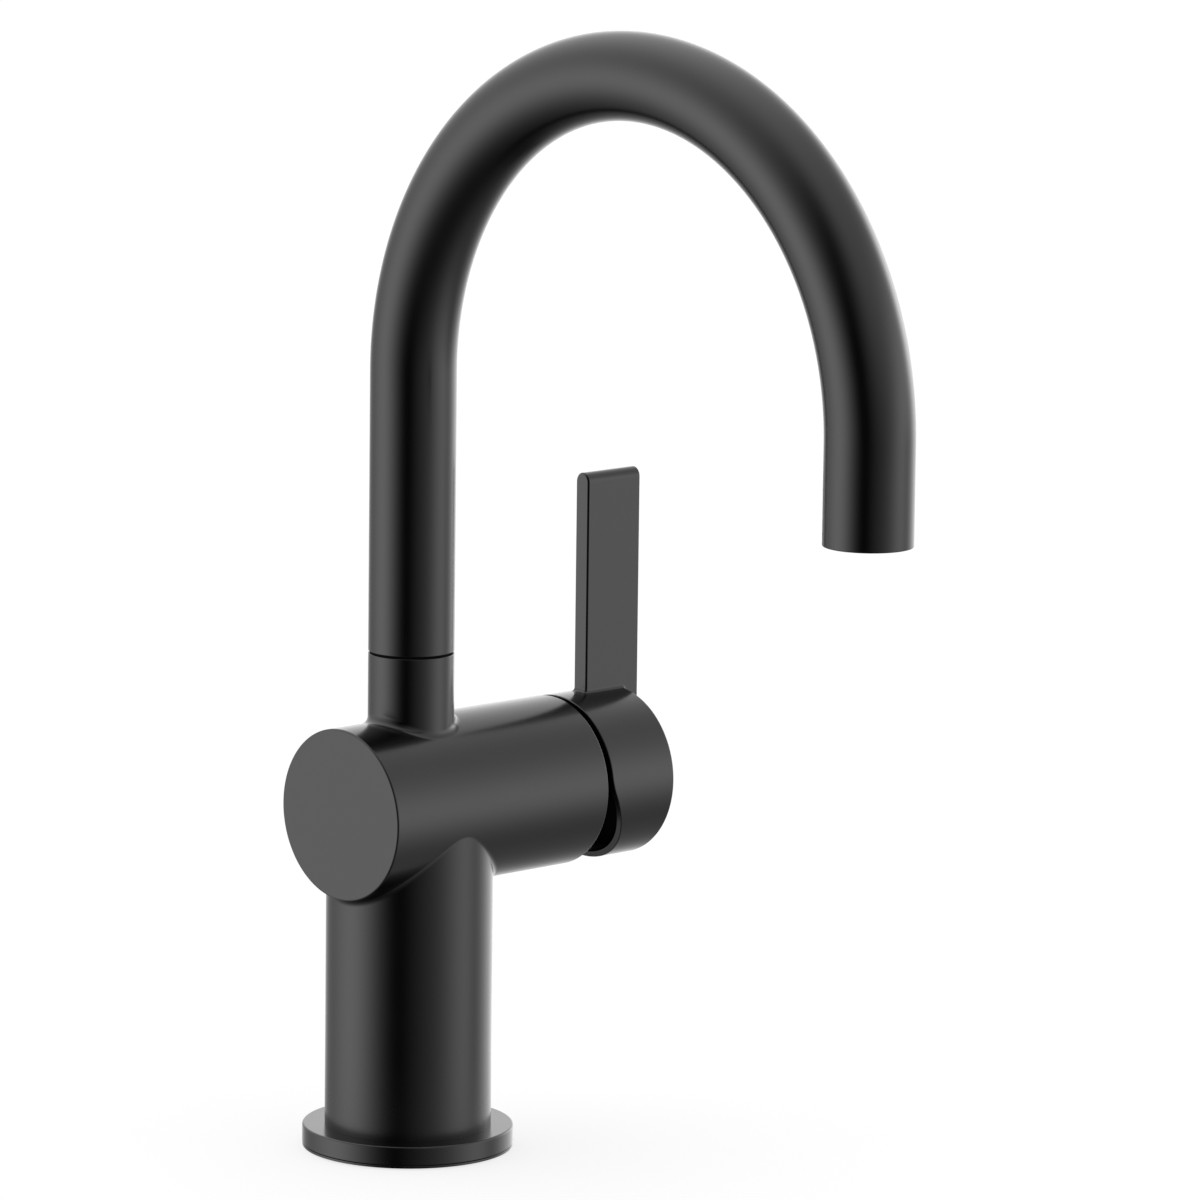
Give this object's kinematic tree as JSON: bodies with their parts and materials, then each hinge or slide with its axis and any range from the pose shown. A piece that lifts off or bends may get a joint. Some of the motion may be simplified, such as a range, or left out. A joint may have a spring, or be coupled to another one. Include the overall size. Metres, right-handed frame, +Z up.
{
  "type": "gooseneck bar faucet",
  "caption": "Single-lever bar faucet with a round column, a cross barrel with the lever hub at its end, and a swivelling tubular gooseneck spout, in satin black.",
  "frame": {"origin": "on the column axis, in the plane of the deck that the base stands on, at the mouth of the stud hole", "axes": "+Z up along the column, -Y out along the spout, +X along the barrel towards the lever"},
  "size_m": [0.1208, 0.2299, 0.3375],
  "materials": {
    "satin_black": "satin black coating with a soft sheen",
    "brass": "machined, uncoated",
    "copper": "drawn tube",
    "steel": "turned",
    "rubber": "matt moulded",
    "black_plastic": "matt moulded",
    "grey_plastic": "matt moulded",
    "white_plastic": "matt moulded",
    "red_plastic": "matt moulded",
    "ceramic": "lapped ceramic"
  },
  "bodies": {
    "body": {"deck_gasket": "rubber", "base_flange": "satin_black", "base_block": "brass", "body_casting": "satin_black", "hot_riser": "copper", "cold_riser": "copper", "riser_seals": "rubber", "valve_block": "brass", "port_seals": "rubber", "cartridge_base": "grey_plastic", "fixed_disc": "ceramic", "cartridge_housing": "grey_plastic", "temperature_stop": "red_plastic", "cartridge_nut": "brass", "bonnet_ring": "satin_black", "spout_post": "brass", "post_seal": "rubber", "post_o_rings": "rubber", "swivel_washer": "black_plastic"},
    "spout": {"spout_tube": "satin_black", "spout_sleeve": "brass", "lower_bushing": "white_plastic", "upper_bushing": "white_plastic", "swivel_screw": "steel", "outlet_sleeve": "brass", "aerator_housing": "black_plastic", "aerator_core": "white_plastic", "aerator_screen": "grey_plastic", "aerator_washer": "rubber"},
    "mixer": {"rotor": "black_plastic", "stem_pin": "steel"},
    "disc": {"moving_disc": "ceramic", "disc_carrier": "black_plastic"},
    "lever": {"stem": "steel", "handle": "satin_black", "handle_screw": "steel", "screw_plug": "black_plastic"}
  },
  "joints": [
    {"name": "spout_swivel", "type": "hinge", "parent": "body", "child": "spout", "pos_m": [0, 0, 0.1482], "axis": [0, 0, 1], "continuous": true},
    {"name": "temperature_turn", "type": "hinge", "parent": "body", "child": "mixer", "pos_m": [0.03796, 0, 0.103], "axis": [1, 0, 0], "range_deg": [-45, 45]},
    {"name": "lever_tilt", "type": "hinge", "parent": "mixer", "child": "lever", "pos_m": [0.03796, 0, 0.103], "axis": [0, 1, 0], "range_deg": [0, 24]},
    {"name": "disc_slide", "type": "slide", "parent": "mixer", "child": "disc", "axis": [0, 0, 1], "range_m": [0, 0.0039]}
  ],
  "couplings": [
    {"joint": "disc_slide", "follows": "lever_tilt", "m_per_rad": 0.0091276}
  ]
}
